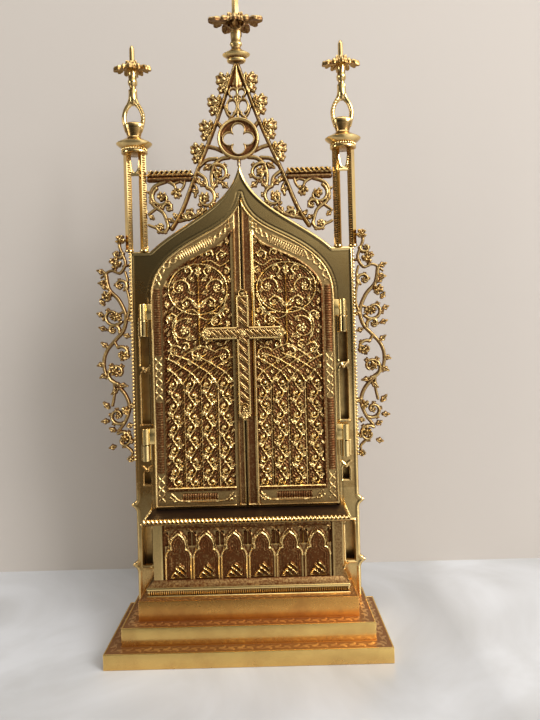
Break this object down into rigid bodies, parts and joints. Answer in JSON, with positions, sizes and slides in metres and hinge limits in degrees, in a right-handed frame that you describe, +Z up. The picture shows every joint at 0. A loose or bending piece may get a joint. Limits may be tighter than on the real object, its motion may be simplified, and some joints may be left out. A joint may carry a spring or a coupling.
{
  "type": "portable shrine",
  "caption": "Upright gilt brass shrine with a stepped base, an ogee front closed by hinged relief doors, a pierced gable, pinnacles and scrolled side wings.",
  "frame": {"origin": "middle of the underside of the stepped base", "axes": "+Z up, +X to the viewer's right, -Y out of the front towards the viewer"},
  "size_m": [0.195, 0.0646, 0.42],
  "materials": {
    "bright_brass": "polished gilt brass with a soft hand-rubbed gloss",
    "cast_brass": "cast gilt brass, bright on its high points and brown in its hollows",
    "patinated_brass": "red-brown patina left on low relief"
  },
  "bodies": {
    "shrine_body": {"plinth_slab": "bright_brass", "middle_step": "bright_brass", "upper_step": "bright_brass", "predella_foot": "cast_brass", "predella": "patinated_brass", "predella_cornice": "bright_brass", "front_frame": "bright_brass", "cabinet_case": "bright_brass", "left_lower_hinge": "bright_brass", "left_upper_hinge": "bright_brass", "right_lower_hinge": "bright_brass", "right_upper_hinge": "bright_brass", "gable": "cast_brass", "left_crest_grille": "cast_brass", "right_crest_grille": "cast_brass", "left_pinnacle": "bright_brass", "right_pinnacle": "bright_brass", "left_scroll_wing": "cast_brass", "right_scroll_wing": "cast_brass", "centre_finial": "cast_brass"},
    "left_leaf": {"left_door": "cast_brass"},
    "right_leaf": {"right_door": "cast_brass", "door_cross": "cast_brass"}
  },
  "joints": [
    {"name": "right_door_hinge", "type": "hinge", "parent": "shrine_body", "child": "right_leaf", "pos_m": [0.0654, 0.007, 0.165], "axis": [0, 0, 1], "range_deg": [0, 110]},
    {"name": "left_door_hinge", "type": "hinge", "parent": "shrine_body", "child": "left_leaf", "pos_m": [-0.0654, 0.007, 0.165], "axis": [0, 0, -1], "range_deg": [0, 110]}
  ],
  "couplings": [
    {"joint": "left_door_hinge", "follows": "right_door_hinge", "ratio": 1}
  ]
}
